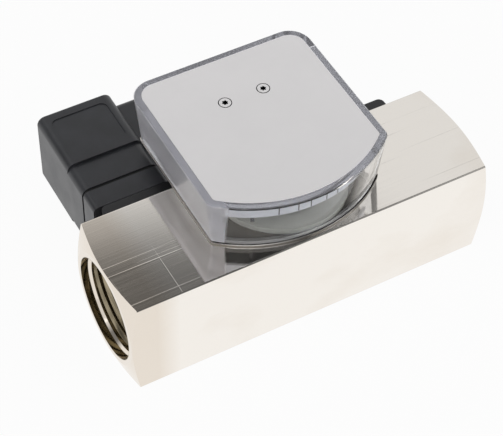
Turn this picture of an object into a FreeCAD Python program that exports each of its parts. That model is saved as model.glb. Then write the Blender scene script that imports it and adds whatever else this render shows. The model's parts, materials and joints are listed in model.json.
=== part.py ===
import FreeCAD, Part
import math
import os

from FreeCAD import Rotation, Vector

os.makedirs("parts", exist_ok=True)

# In-line variable area flow meter, millimetres.
# X runs along the flow, with the inlet at -X and the outlet at +X. Z is up.
# The origin is the centre of the body's flat bottom face.

# Body, a square bar with turned ends
body_size = 40.0
body_length = 131.8
end_face_radius = 19.5
end_chamfer_deg = 15.3
body_edge_round = 0.6

# Pipe ports, G1 female at both ends
port_thread_radius = 16.62
port_thread_length = 18.0
port_recess_radius = 17.5
port_recess_depth = 2.5

# Bore between the ports
throat_radius = 12.5
throat_length = 6.5
chamber_radius = 14.5
insert_clearance = 0.05

# Bearing crosses that hold the guide rod
spider_ring_length = 5.0
spider_hub_length = 9.0
spider_hub_radius = 4.5
spider_ring_wall = 2.0
spider_arm_width = 2.2
spider_arm_count = 3

# Tapered measuring sleeve and its seal
sleeve_length = 62.0
sleeve_tight_radius = 11.6
sleeve_wide_radius = 13.2
sleeve_seal_radius = 0.65
seal_section_sides = 12
sleeve_seal_offset = 4.0
retaining_ring_thickness = 1.2
retaining_ring_width = 2.7
retaining_groove_depth = 0.9
retaining_ring_gap = 7.0

# Guide rod and nuts
rod_radius = 2.5
rod_end_radius = 2.0
rod_nut_across_flats = 7.0
rod_nut_thickness = 3.2
rod_nut_overhang = 0.8
thread_clearance = 0.02
running_clearance = 0.05

# Float with its magnet and return spring
float_stop_gap = 0.1
float_travel = 22.0
float_radius = 11.3
float_nose_length = 9.0
float_nose_radius = 4.0
float_rim_length = 4.0
float_hub_radius = 6.0
float_tail_radius = 4.0
float_tail_length = 8.0
float_bush_radius = 3.3
float_bush_length = 6.0
ring_magnet_length = 8.0
ring_magnet_radius = 9.0
magnet_clip_length = 1.5
magnet_clip_radius = 7.5
spring_wire_radius = 0.5
spring_radius = 5.2
spring_turns = 6
spring_section_sides = 8

# Indicator head, D shaped in plan
head_x = -0.5
head_width = 64.8
head_back_y = 49.3
head_front_y = -20.2
head_front_radius = 47.6
head_back_corner = 8.0
head_front_corner = 3.5
head_least_corner = 0.4
head_height = 20.0
base_plate_thickness = 0.6
base_plate_margin = 0.3
head_gasket_thickness = 0.6
head_gasket_inset = 0.5
cover_wall = 3.0
cover_side_wall = 5.0
cover_draft = 1.9
cover_roof = 0.8
cover_edge_break = 0.5
cover_seat_gap = 0.05
top_plate_thickness = 1.6
top_plate_rim = 2.5
top_plate_gap = 0.08

# Screws in the head
screw_radius = 1.25
screw_clearance = 0.35
top_screw_head_radius = 2.0
top_screw_ring = 0.3
top_screw_ring_depth = 0.7
top_screw_length = 9.0
torx_radius = 1.05
torx_lobe_radius = 0.34
torx_depth = 1.0
pan_head_radius = 2.75
pan_head_height = 1.5
base_screw_reach = 4.5
base_screw_y = 6.0

# Pointer bearing bridge
pivot_y = 28.4
bridge_post_spacing = 14.0
bridge_post_radius = 2.75
bridge_bar_thickness = 2.0
bridge_bar_depth = 9.0
bridge_upper_bar_drop = 3.4
shaft_radius = 1.0
shaft_bush_radius = 2.0
shaft_clearance = 0.04
shaft_end_gap = 0.1
shaft_clip_radius = 2.3
shaft_clip_thickness = 0.5

# Magnet arm, pointer and counterweight
pointer_start_deg = -25.0
arm_reach = 23.6
arm_width = 5.0
arm_thickness = 1.0
arm_hub_radius = 3.0
arm_hub_clearance = 0.4
arm_drop = 2.5
follower_magnet_radius = 4.0
follower_magnet_length = 3.0
magnet_cup_wall = 0.8
counterweight_reach = 9.0
counterweight_radius = 4.0
counterweight_thickness = 2.5
pointer_reach = 41.2
pointer_width = 1.2
pointer_thickness = 0.5
pointer_flag_height = 4.0
pointer_flag_gap = 0.6

# Dial disc and scale band
dial_disc_radius = 22.3
dial_disc_x = 0.8
dial_disc_thickness = 2.2
dial_well_radius = 16.5
dial_well_depth = 1.2
dial_disc_front_gap = 0.5
dial_disc_back_gap = 1.5
scale_band_height = 5.5
scale_band_thickness = 0.8
scale_band_gap = 0.3
scale_band_half_deg = 37.0

# Rail on the body's back face
rail_end_inset = 12.4
rail_depth = 8.0
rail_height = 27.5
rail_end_round = 2.0
slot_lip = 2.0
slot_mouth = 10.0
slot_width = 17.0
slot_depth = 3.0
rail_screw_spacing = 35.0
rail_screw_radius = 1.65
rail_screw_head_radius = 3.2
rail_screw_reach = 4.0

# Switch carriage on the rail
carriage_overhang = 2.15
carriage_width = 27.5
carriage_depth = 7.8
carriage_corner = 2.0
carriage_floor = 1.8
carriage_wall = 2.6
slide_clearance = 0.2
foot_length = 24.0
lip_width = 16.0
lip_thickness = 2.9
lip_reach = 7.2
clamp_screw_radius = 1.5
clamp_head_radius = 3.6
clamp_head_height = 2.6
clamp_head_gap = 0.1
clamp_tip_gap = 0.05

# Reed contact and its board
board_width = 17.0
board_height = 15.0
board_thickness = 1.0
reed_radius = 1.1
reed_length = 12.0
reed_lead_radius = 0.3
reed_lead_length = 2.5
reed_seat = 0.02

# Angular plug and its contacts
contact_plate = 2.4
pin_circle_radius = 9.0
pin_width = 6.3
pin_thickness = 0.8
pin_length = 12.0
pin_clearance = 0.35
plug_gasket_thickness = 1.15
plug_gasket_inset = 0.6
plug_seat_gap = 0.05
plug_neck_length = 11.2
plug_length = 35.9
plug_neck_width = 27.5
plug_box_width = 27.5
plug_box_height = 29.6
plug_corner = 3.0
plug_end_round = 0.8
plug_wall = 2.2
plug_end_wall = 2.4
panel_inset = 3.5
panel_depth = 0.3
panel_length = 18.0
terminal_size = 21.0
terminal_start = 2.0
terminal_length = 19.0
terminal_screw_radius = 1.4
terminal_head_radius = 2.4
terminal_head_height = 1.6
terminal_screw_length = 8.0
plug_screw_radius = 1.5
plug_screw_head_radius = 3.5
plug_screw_head_height = 2.4
plug_screw_seat = 1.4
plug_screw_clearance = 0.15
screw_slot_width = 0.8
screw_slot_depth = 1.0

# Cable gland on the plug's side
gland_boss_size = 23.0
gland_boss_length = 10.0
gland_boss_end_gap = 2.9
gland_boss_corner = 2.5
gland_neck_radius = 9.2
gland_neck_wall = 1.8
gland_neck_length = 9.0
gland_way_radius = 5.5
gland_nut_across_flats = 22.0
gland_nut_wall = 1.8
gland_nut_clearance = 0.1
gland_nut_gap = 0.2
gland_hole_radius = 5.0
seal_bore_radius = 4.0
seal_length = 6.0
washer_thickness = 0.8
gland_fit = 0.1

# Places that follow from the sizes above
flow_z = body_size / 2
body_top = body_size
body_back = body_size / 2
body_half = body_length / 2
port_chamfer = port_recess_radius - port_thread_radius
port_depth = port_recess_depth + port_chamfer + port_thread_length
throat_x = -body_half + port_depth
insert_x = throat_x + throat_length
insert_radius = chamber_radius - insert_clearance
sleeve_x = insert_x + spider_ring_length
sleeve_end = sleeve_x + sleeve_length
stack_end = sleeve_end + spider_ring_length
inlet_hub_face = insert_x + spider_hub_length
outlet_hub_face = stack_end - spider_hub_length
float_x = inlet_hub_face + float_stop_gap
float_rim_x = float_x + float_nose_length
magnet_x = float_rim_x + float_rim_length
clip_x = magnet_x + ring_magnet_length
tail_x = clip_x + magnet_clip_length
float_end = tail_x + float_tail_length

base_top = body_top + base_plate_thickness
cover_bottom = base_top + head_gasket_thickness
head_top = body_top + head_height
plate_bottom = head_top - top_plate_thickness
roof_bottom = plate_bottom - cover_roof
front_centre_y = head_front_y + head_front_radius
disc_top = base_top + dial_disc_thickness
inner_front_y = head_front_y + cover_draft + cover_wall
dial_disc_y = inner_front_y + dial_disc_front_gap + dial_disc_radius
bar_y = pivot_y - bridge_bar_depth / 2
lower_bar_top = base_top + bridge_bar_thickness
upper_bar_top = roof_bottom - bridge_upper_bar_drop
upper_bar_bottom = upper_bar_top - bridge_bar_thickness
scale_bottom = roof_bottom - scale_band_height
arm_top = upper_bar_bottom - arm_drop
arm_bottom = arm_top - arm_thickness

rail_half = body_half - rail_end_inset
rail_y = body_back + rail_depth
rail_bottom = flow_z - rail_height / 2
slot_floor_y = rail_y - slot_lip - slot_depth
carriage_x = carriage_width / 2 - carriage_overhang - rail_half
carriage_y = rail_y + slide_clearance
carriage_face = carriage_y + carriage_depth
board_y = carriage_y + carriage_floor
reed_y = board_y + board_thickness + reed_radius + reed_seat
lip_top = rail_bottom - slide_clearance
clamp_y = rail_y - lip_reach / 2
plug_y = carriage_face + plug_seat_gap + plug_gasket_thickness
plug_step_y = plug_y + plug_neck_length
plug_end = plug_y + plug_length
terminal_y = plug_y + terminal_start
terminal_end = terminal_y + terminal_length
screw_head_y = plug_end - plug_screw_seat - plug_screw_head_height
plug_side = carriage_x + plug_box_width / 2
gland_y = plug_end - gland_boss_end_gap - gland_boss_size / 2
gland_neck_x = plug_side + gland_boss_length
gland_neck_end = gland_neck_x + gland_neck_length
gland_bore_radius = gland_neck_radius - gland_neck_wall
washer_end = gland_neck_end + gland_nut_gap
seal_end = washer_end - washer_thickness


def turned(profile):
    """Solid of revolution about the flow axis, from (x, radius) corners."""
    points = [Vector(x, 0, flow_z + radius) for x, radius in profile]
    points.append(points[0])
    face = Part.Face(Part.makePolygon(points))
    return face.revolve(Vector(0, 0, flow_z), Vector(1, 0, 0), 360)


def ring(start, end, inner, outer):
    return turned([(start, inner), (end, inner), (end, outer), (start, outer)])


def block(low, high):
    size = [b - a for a, b in zip(low, high)]
    return Part.makeBox(size[0], size[1], size[2], Vector(*low))


def square_bar(centre_x, centre_z, width, height, start_y, end_y):
    """Rectangular bar along Y, centred on the line x, z."""
    low = (centre_x - width / 2, start_y, centre_z - height / 2)
    high = (centre_x + width / 2, end_y, centre_z + height / 2)
    return block(low, high)


def upright(radius, x, y, bottom, top):
    return Part.makeCylinder(radius, top - bottom, Vector(x, y, bottom))


def rod_y(radius, x, z, start, end):
    return Part.makeCylinder(radius, end - start, Vector(x, start, z), Vector(0, 1, 0))


def rod_x(radius, y, z, start, end):
    return Part.makeCylinder(radius, end - start, Vector(start, y, z), Vector(1, 0, 0))


def upright_cone(lower_radius, upper_radius, x, y, bottom, top):
    return Part.makeCone(lower_radius, upper_radius, top - bottom, Vector(x, y, bottom))


def edges_along(shape, direction):
    """Straight edges of a shape that run along a direction."""
    found = []
    for edge in shape.Edges:
        if isinstance(edge.Curve, Part.Line):
            if abs(edge.Curve.Direction.dot(direction)) > 0.999:
                found.append(edge)
    return found


def rounded(shape, direction, radius):
    return shape.makeFillet(radius, edges_along(shape, direction))


def hexagon(across_flats, centre, axis, length):
    """Six-sided prism from a centre, along an axis."""
    corner = across_flats / math.sqrt(3)
    points = []
    for step in range(7):
        angle = math.radians(60 * step)
        points.append(Vector(corner * math.cos(angle), corner * math.sin(angle), 0))
    prism = Part.Face(Part.makePolygon(points)).extrude(Vector(0, 0, length))
    prism.Placement = FreeCAD.Placement(centre, Rotation(Vector(0, 0, 1), axis))
    return prism


def fused(shapes):
    """One clean solid from overlapping shapes."""
    whole = shapes[0].multiFuse(shapes[1:])
    return whole.removeSplitter()


def save(name, shapes):
    if not isinstance(shapes, list):
        shapes = [shapes]
    solids = [solid for shape in shapes for solid in shape.Solids]
    result = solids[0] if len(solids) == 1 else Part.makeCompound(solids)
    result.exportStep("parts/" + name + ".step")


def slotted(head, centre, axis, across, width, depth):
    """Head with a screwdriver slot cut into the face at centre, normal to axis."""
    cutter = Part.makeBox(2 * across, width, 2 * depth, Vector(-across, -width / 2, -depth))
    cutter.Placement = FreeCAD.Placement(centre, Rotation(Vector(0, 0, 1), axis))
    return head.cut(cutter)


# Body


def bored_way():
    """Everything that is turned out of the bar along the flow axis."""
    recess_x = body_half - port_recess_depth
    thread_x = recess_x - port_chamfer
    groove_end = stack_end + retaining_ring_thickness
    groove_radius = chamber_radius + retaining_groove_depth
    profile = [
        (-body_half, 0),
        (-body_half, port_recess_radius),
        (-recess_x, port_recess_radius),
        (-thread_x, port_thread_radius),
        (throat_x, port_thread_radius),
        (throat_x, throat_radius),
        (insert_x, throat_radius),
        (insert_x, chamber_radius),
        (stack_end, chamber_radius),
        (stack_end, groove_radius),
        (groove_end, groove_radius),
        (groove_end, chamber_radius),
        (-throat_x, chamber_radius),
        (-throat_x, port_thread_radius),
        (thread_x, port_thread_radius),
        (recess_x, port_recess_radius),
        (body_half, port_recess_radius),
        (body_half, 0),
    ]
    return turned(profile)


def base_screw_places():
    reach = (dial_disc_radius + dial_well_radius) / 2
    return [(dial_disc_x - reach, base_screw_y), (dial_disc_x + reach, base_screw_y)]


def rail_screw_places():
    return [-rail_screw_spacing, 0.0, rail_screw_spacing]


def meter_body():
    half = body_size / 2
    bar = block((-body_half, -half, 0), (body_half, half, body_top))
    bar = rounded(bar, Vector(1, 0, 0), body_edge_round)
    corner_radius = body_size
    slope = math.tan(math.radians(end_chamfer_deg))
    corner_x = body_half - (corner_radius - end_face_radius) * slope
    envelope = turned([
        (-body_half, 0),
        (-body_half, end_face_radius),
        (-corner_x, corner_radius),
        (corner_x, corner_radius),
        (body_half, end_face_radius),
        (body_half, 0),
    ])
    body = bar.common(envelope).cut(bored_way())
    for x, y in base_screw_places():
        body = body.cut(upright(screw_radius, x, y, body_top - base_screw_reach, body_top))
    for x in rail_screw_places():
        body = body.cut(rod_y(rail_screw_radius, x, flow_z, body_back - rail_screw_reach, body_back))
    return body


# Measuring insert in the bore


def spider(ring_start, hub_start):
    """Bearing cross: an outer ring, arms and a hub bored for the rod end."""
    ring_inner = insert_radius - spider_ring_wall
    ring_end = ring_start + spider_ring_length
    outer = ring(ring_start, ring_end, ring_inner, insert_radius)
    hub = ring(hub_start, hub_start + spider_hub_length, 0, spider_hub_radius)
    arms = []
    half = spider_arm_width / 2
    for number in range(spider_arm_count):
        arm = block((ring_start, -half, flow_z), (ring_end, half, flow_z + ring_inner + half))
        arm.rotate(Vector(0, 0, flow_z), Vector(1, 0, 0), 360 / spider_arm_count * number)
        arms.append(arm)
    cross = fused([outer, hub] + arms)
    hole = rod_end_radius + thread_clearance
    return cross.cut(rod_x(hole, 0, flow_z, hub_start, hub_start + spider_hub_length))


def measuring_sleeve():
    taper_end = float_rim_x + float_travel + float_rim_length
    groove_x = sleeve_x + sleeve_seal_offset
    groove_half = sleeve_seal_radius * 1.25
    groove_radius = insert_radius - 2 * sleeve_seal_radius
    return turned([
        (sleeve_x, sleeve_tight_radius),
        (float_rim_x, sleeve_tight_radius),
        (taper_end, sleeve_wide_radius),
        (sleeve_end, sleeve_wide_radius),
        (sleeve_end, insert_radius),
        (groove_x + groove_half, insert_radius),
        (groove_x + groove_half, groove_radius),
        (groove_x - groove_half, groove_radius),
        (groove_x - groove_half, insert_radius),
        (sleeve_x, insert_radius),
    ])


def wire_section(radius, sides, centre, across, along):
    """Face of a round wire's section, drawn with a few straight sides."""
    points = []
    for step in range(sides + 1):
        angle = math.radians(360 * (step + 0.5) / sides)
        points.append(centre + across * (radius * math.cos(angle)) + along * (radius * math.sin(angle)))
    return Part.Face(Part.makePolygon(points))


def sleeve_seal():
    centre = Vector(sleeve_x + sleeve_seal_offset, 0, flow_z + insert_radius - sleeve_seal_radius)
    section = wire_section(
        sleeve_seal_radius, seal_section_sides, centre, Vector(0, 0, 1), Vector(1, 0, 0),
    )
    return section.revolve(Vector(0, 0, flow_z), Vector(1, 0, 0), 360)


def retaining_ring():
    outer = chamber_radius + retaining_groove_depth - insert_clearance
    whole = ring(stack_end, stack_end + retaining_ring_thickness, outer - retaining_ring_width, outer)
    half = retaining_ring_gap / 2
    return whole.cut(block((stack_end, -half, 0), (sleeve_end + body_half, half, flow_z)))


def guide_rod():
    shaft = rod_x(rod_radius, 0, flow_z, inlet_hub_face, outlet_hub_face)
    overhang = rod_nut_thickness + rod_nut_overhang
    ends = rod_x(rod_end_radius, 0, flow_z, insert_x - overhang, stack_end + overhang)
    return fused([shaft, ends])


def rod_nuts():
    nuts = []
    for start in (insert_x - rod_nut_thickness, stack_end):
        nut = hexagon(rod_nut_across_flats, Vector(start, 0, flow_z), Vector(1, 0, 0), rod_nut_thickness)
        hole = rod_x(rod_end_radius + thread_clearance, 0, flow_z, start, start + rod_nut_thickness)
        nuts.append(nut.cut(hole))
    return nuts


# Float and spring


def float_body():
    bore = rod_radius + 3 * running_clearance
    whole = turned([
        (float_x, bore),
        (float_x, float_nose_radius),
        (float_rim_x, float_radius),
        (magnet_x, float_radius),
        (magnet_x, float_hub_radius),
        (clip_x, float_hub_radius),
        (clip_x, float_tail_radius),
        (float_end, float_tail_radius),
        (float_end, bore),
    ])
    for start in float_bush_places():
        whole = whole.cut(rod_x(float_bush_radius, 0, flow_z, start, start + float_bush_length))
    return whole


def float_bush_places():
    return [float_x, float_end - float_bush_length]


def float_bushes():
    inner = rod_radius + running_clearance
    return [ring(start, start + float_bush_length, inner, float_bush_radius) for start in float_bush_places()]


def return_spring():
    """Compression spring between the magnet clip and the outlet hub, one tilted arc for each half turn."""
    pitch = (outlet_hub_face - tail_x - 2 * spring_wire_radius) / spring_turns
    first = Vector(tail_x + spring_wire_radius, 0, flow_z + spring_radius)
    section = wire_section(
        spring_wire_radius, spring_section_sides, first, Vector(0, 0, 1), Vector(1, 0, 0),
    )
    halves = []
    for number in range(2 * spring_turns):
        side = 1 if number % 2 == 0 else -1
        middle = Vector(first.x + pitch / 2 * (number + 0.5), 0, flow_z)
        start = Vector(middle.x - pitch / 4, 0, flow_z + side * spring_radius)
        axis = (start - middle).cross(Vector(0, side, 0)).normalize()
        face = section.copy()
        if side < 0:
            face = face.mirror(Vector(0, 0, flow_z), Vector(0, 0, 1))
        face.translate(Vector(start.x - first.x, 0, 0))
        halves.append(face.revolve(middle, axis, 180))
    return fused(halves)


# Indicator head


def head_outline(inset, height, narrower=0.0):
    """D-shaped wire, smaller than the head's top outline by the inset, and narrower at both sides."""
    half = head_width / 2 - inset - narrower
    back = head_back_y - inset
    radius = head_front_radius - inset
    side_y = front_centre_y - math.sqrt(radius ** 2 - half ** 2)
    back_left = Vector(head_x - half, back, height)
    back_right = Vector(head_x + half, back, height)
    front_left = Vector(head_x - half, side_y, height)
    front_right = Vector(head_x + half, side_y, height)
    apex = Vector(head_x, front_centre_y - radius, height)
    outline = Part.Wire([
        Part.LineSegment(back_left, front_left).toShape(),
        Part.Arc(front_left, apex, front_right).toShape(),
        Part.LineSegment(front_right, back_right).toShape(),
        Part.LineSegment(back_right, back_left).toShape(),
    ])
    slab = Part.Face(outline).extrude(Vector(0, 0, -1))
    for corner_radius, places in (
        (head_back_corner, (back_left, back_right)),
        (head_front_corner, (front_left, front_right)),
    ):
        uprights = edges_along(slab, Vector(0, 0, 1))
        chosen = [edge for edge in uprights if is_at(edge, places)]
        slab = slab.makeFillet(max(corner_radius - inset, head_least_corner), chosen)
    top_face = max(slab.Faces, key=lambda face: face.CenterOfMass.z)
    return top_face.OuterWire


def is_at(edge, places):
    """True where an upright edge passes through one of the places."""
    foot = edge.CenterOfMass
    return any(math.hypot(foot.x - place.x, foot.y - place.y) < 0.01 for place in places)


def head_prism(inset, bottom, top, narrower=0.0):
    return Part.Face(head_outline(inset, bottom, narrower)).extrude(Vector(0, 0, top - bottom))


def head_flare(inset, bottom, top, narrower=0.0):
    """Solid that widens upwards with the cover's draft, inset from its outside."""
    wires = []
    for height in (bottom, top):
        draft = cover_draft * (head_top - height) / (head_top - cover_bottom)
        wires.append(head_outline(inset + draft, height, narrower))
    return Part.makeLoft(wires, True, True)


def top_screw_places():
    half = bridge_post_spacing / 2
    return [(head_x - half, pivot_y), (head_x + half, pivot_y)]


def head_base_plate():
    plate = head_prism(cover_draft - base_plate_margin, body_top, base_top)
    for x, y in base_screw_places() + top_screw_places():
        plate = plate.cut(upright(screw_radius + screw_clearance, x, y, body_top, base_top))
    return plate


def head_gasket():
    outer = head_prism(cover_draft + head_gasket_inset, base_top, cover_bottom - cover_seat_gap)
    narrower = cover_side_wall - cover_wall
    return outer.cut(head_prism(cover_draft + cover_wall, base_top, cover_bottom, narrower))


def clear_cover():
    outer = head_flare(0, cover_bottom, head_top)
    top_edges = [edge for edge in outer.Edges if edge.BoundBox.ZMin > head_top - 0.001]
    outer = outer.makeChamfer(cover_edge_break, top_edges)
    narrower = cover_side_wall - cover_wall
    cover = outer.cut(head_flare(cover_wall, cover_bottom, roof_bottom, narrower))
    cover = cover.cut(head_prism(top_plate_rim, plate_bottom - cover_seat_gap, head_top))
    for x, y in top_screw_places():
        cover = cover.cut(upright(screw_radius + screw_clearance, x, y, roof_bottom, plate_bottom))
    return cover


def countersunk(x, y, extra):
    """Countersunk head with its shank below the top plate, grown by extra."""
    cone = upright_cone(screw_radius + extra, top_screw_head_radius + extra, x, y, plate_bottom, head_top)
    shank = upright(screw_radius + extra, x, y, head_top - top_screw_length, head_top)
    return fused([cone, shank])


def top_plate():
    """Inset plate, with an open ring around the head of each screw."""
    plate = head_prism(top_plate_rim + top_plate_gap, plate_bottom, head_top)
    ring_radius = top_screw_head_radius + top_screw_ring
    for x, y in top_screw_places():
        plate = plate.cut(countersunk(x, y, thread_clearance))
        plate = plate.cut(upright(ring_radius, x, y, head_top - top_screw_ring_depth, head_top))
    return plate


def torx_recess(x, y):
    bottom = head_top - torx_depth
    shapes = [upright(torx_radius - torx_lobe_radius, x, y, bottom, head_top)]
    reach = torx_radius - torx_lobe_radius
    for number in range(6):
        angle = math.radians(60 * number)
        lobe_x = x + reach * math.cos(angle)
        lobe_y = y + reach * math.sin(angle)
        shapes.append(upright(torx_lobe_radius, lobe_x, lobe_y, bottom, head_top))
    return fused(shapes)


def top_plate_screws():
    return [countersunk(x, y, 0).cut(torx_recess(x, y)) for x, y in top_screw_places()]


def pan_screw(x, y, face, reach, side):
    """Pan head screw whose head stands on a face, with side 1 for up and -1 for down."""
    head_end = face + side * pan_head_height
    head = upright(pan_head_radius, x, y, min(face, head_end), max(face, head_end))
    shank_end = face - side * reach
    shank = upright(screw_radius, x, y, min(face, shank_end), max(face, shank_end))
    screw = fused([head, shank])
    centre = Vector(x, y, head_end)
    return slotted(screw, centre, Vector(0, 0, 1), pan_head_radius, screw_slot_width, screw_slot_depth)


def base_plate_screws():
    reach = base_plate_thickness + dial_disc_thickness + base_screw_reach - float_stop_gap
    return [pan_screw(x, y, disc_top, reach, 1) for x, y in base_screw_places()]


def bridge_screws():
    reach = base_plate_thickness + bridge_bar_thickness * 2
    return [pan_screw(x, y, body_top, reach, -1) for x, y in top_screw_places()]


def bearing_bridge():
    """Two posts joined by a lower and an upper bar that carry the pointer shaft."""
    half = bridge_post_spacing / 2 + bridge_post_radius
    shapes = []
    for bottom, top in ((base_top, lower_bar_top), (upper_bar_bottom, upper_bar_top)):
        bar = block((head_x - half, bar_y, bottom), (head_x + half, bar_y + bridge_bar_depth, top))
        shapes.append(rounded(bar, Vector(0, 0, 1), bridge_post_radius))
    for x, y in top_screw_places():
        shapes.append(upright(bridge_post_radius, x, y, base_top, roof_bottom))
    bridge = fused(shapes)
    hole = screw_radius + thread_clearance
    for x, y in top_screw_places():
        bridge = bridge.cut(upright(hole, x, y, head_top - top_screw_length - 1, roof_bottom))
        bridge = bridge.cut(upright(hole, x, y, base_top, base_top + bridge_bar_thickness * 2.5))
    return bridge.cut(upright(shaft_bush_radius, head_x, pivot_y, base_top, roof_bottom))


def shaft_bushes():
    bushes = []
    for bottom, top in ((base_top, lower_bar_top), (upper_bar_bottom, upper_bar_top)):
        outer = upright(shaft_bush_radius, head_x, pivot_y, bottom, top)
        bushes.append(outer.cut(upright(shaft_radius + shaft_clearance, head_x, pivot_y, bottom, top)))
    return bushes


def dial_disc():
    """Dish on the base plate, cut straight in front of the bearing bridge."""
    disc = upright(dial_disc_radius, dial_disc_x, dial_disc_y, base_top, disc_top)
    well_floor = disc_top - dial_well_depth
    disc = disc.cut(upright(dial_well_radius, dial_disc_x, dial_disc_y, well_floor, disc_top))
    flat_y = bar_y - dial_disc_back_gap
    reach = 2 * dial_disc_radius
    disc = disc.cut(block(
        (dial_disc_x - reach, flat_y, base_top),
        (dial_disc_x + reach, flat_y + reach, disc_top),
    ))
    for x, y in base_screw_places():
        disc = disc.cut(upright(screw_radius + screw_clearance, x, y, base_top, disc_top))
    return disc


def scale_band():
    """Curved strip behind the window, hung from the cover's roof."""
    outer = front_centre_y - inner_front_y - scale_band_gap
    inner = outer - scale_band_thickness
    start = Vector(head_x, front_centre_y, scale_bottom)
    angle = 2 * scale_band_half_deg
    up = Vector(0, 0, 1)
    band = Part.makeCylinder(outer, scale_band_height, start, up, angle)
    band = band.cut(Part.makeCylinder(inner, scale_band_height, start, up, angle))
    band.rotate(start, up, -90 - scale_band_half_deg)
    return band


# Pointer group, drawn pointing to -Y and then turned to its rest angle


def at_rest(shape):
    shape.rotate(Vector(head_x, pivot_y, 0), Vector(0, 0, 1), pointer_start_deg)
    return shape


def pointer_shaft():
    top = upper_bar_top + shaft_clip_thickness * 2
    return upright(shaft_radius, head_x, pivot_y, base_top + shaft_end_gap, top)


def shaft_clip():
    bottom = upper_bar_top + shaft_clearance
    outer = upright(shaft_clip_radius, head_x, pivot_y, bottom, bottom + shaft_clip_thickness)
    clip = outer.cut(upright(shaft_radius, head_x, pivot_y, bottom, bottom + shaft_clip_thickness))
    mouth = shaft_radius * 0.8
    return clip.cut(block(
        (head_x - mouth, pivot_y, bottom),
        (head_x + mouth, pivot_y + shaft_clip_radius, bottom + shaft_clip_thickness),
    ))


def magnet_arm():
    """Arm on the shaft, with the cup for the follower magnet at its front end."""
    cup_y = pivot_y - arm_reach
    cup_radius = follower_magnet_radius + magnet_cup_wall
    cup_bottom = arm_bottom - follower_magnet_length
    hub_bottom = lower_bar_top + arm_hub_clearance
    hub_top = upper_bar_bottom - arm_hub_clearance
    bar = block(
        (head_x - arm_width / 2, cup_y, arm_bottom),
        (head_x + arm_width / 2, pivot_y + counterweight_reach, arm_top),
    )
    cup = upright(cup_radius, head_x, cup_y, cup_bottom, arm_top)
    tail = upright(arm_width / 2, head_x, pivot_y + counterweight_reach, arm_bottom, arm_top)
    hub = upright(arm_hub_radius, head_x, pivot_y, hub_bottom, hub_top)
    arm = fused([bar, cup, tail, hub])
    arm = arm.cut(upright(follower_magnet_radius, head_x, cup_y, cup_bottom, arm_bottom))
    arm = arm.cut(upright(shaft_radius, head_x, pivot_y, hub_bottom, hub_top))
    return at_rest(arm)


def follower_magnet():
    cup_y = pivot_y - arm_reach
    bottom = arm_bottom - follower_magnet_length
    return at_rest(upright(follower_magnet_radius, head_x, cup_y, bottom, arm_bottom))


def counterweight():
    place = pivot_y + counterweight_reach
    bottom = arm_bottom - counterweight_thickness
    return at_rest(upright(counterweight_radius, head_x, place, bottom, arm_bottom))


def pointer():
    """Thin needle on the arm, with an upright flag at its tip."""
    tip_y = pivot_y - pointer_reach
    half = pointer_width / 2
    flag_top = scale_bottom - pointer_flag_gap
    needle = block(
        (head_x - half, tip_y, arm_top),
        (head_x + half, pivot_y - arm_hub_radius, arm_top + pointer_thickness),
    )
    flag = block(
        (head_x - half, tip_y, flag_top - pointer_flag_height),
        (head_x + half, tip_y + pointer_thickness, flag_top),
    )
    return at_rest(fused([needle, flag]))


# Rail and switch carriage


def switch_rail():
    """Black rail with a T slot along its back face and rounded ends."""
    bar = block((-rail_half, body_back, rail_bottom), (rail_half, rail_y, rail_bottom + rail_height))
    corners = [edge for edge in edges_along(bar, Vector(0, 0, 1)) if edge.CenterOfMass.y > rail_y - 0.01]
    bar = bar.makeFillet(rail_end_round, corners)
    mouth = block(
        (-rail_half, rail_y - slot_lip, flow_z - slot_mouth / 2),
        (rail_half, rail_y, flow_z + slot_mouth / 2),
    )
    undercut = block(
        (-rail_half, slot_floor_y, flow_z - slot_width / 2),
        (rail_half, rail_y - slot_lip, flow_z + slot_width / 2),
    )
    rail = bar.cut(mouth).cut(undercut)
    for x in rail_screw_places():
        rail = rail.cut(rail_screw(x, thread_clearance))
    return rail


def rail_screw(x, extra):
    """Countersunk screw in the slot floor, grown by extra."""
    head_start = slot_floor_y - (rail_screw_head_radius - rail_screw_radius)
    cone = Part.makeCone(
        rail_screw_radius + extra,
        rail_screw_head_radius + extra,
        slot_floor_y - head_start,
        Vector(x, head_start, flow_z),
        Vector(0, 1, 0),
    )
    tip = body_back - rail_screw_reach + float_stop_gap
    return fused([cone, rod_y(rail_screw_radius - thread_clearance + extra, x, flow_z, tip, slot_floor_y)])


def rail_screws():
    screws = []
    for x in rail_screw_places():
        centre = Vector(x, slot_floor_y, flow_z)
        across = rail_screw_radius
        axis = Vector(0, 1, 0)
        screws.append(slotted(rail_screw(x, 0), centre, axis, across, screw_slot_width, screw_slot_width))
    return screws


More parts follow.
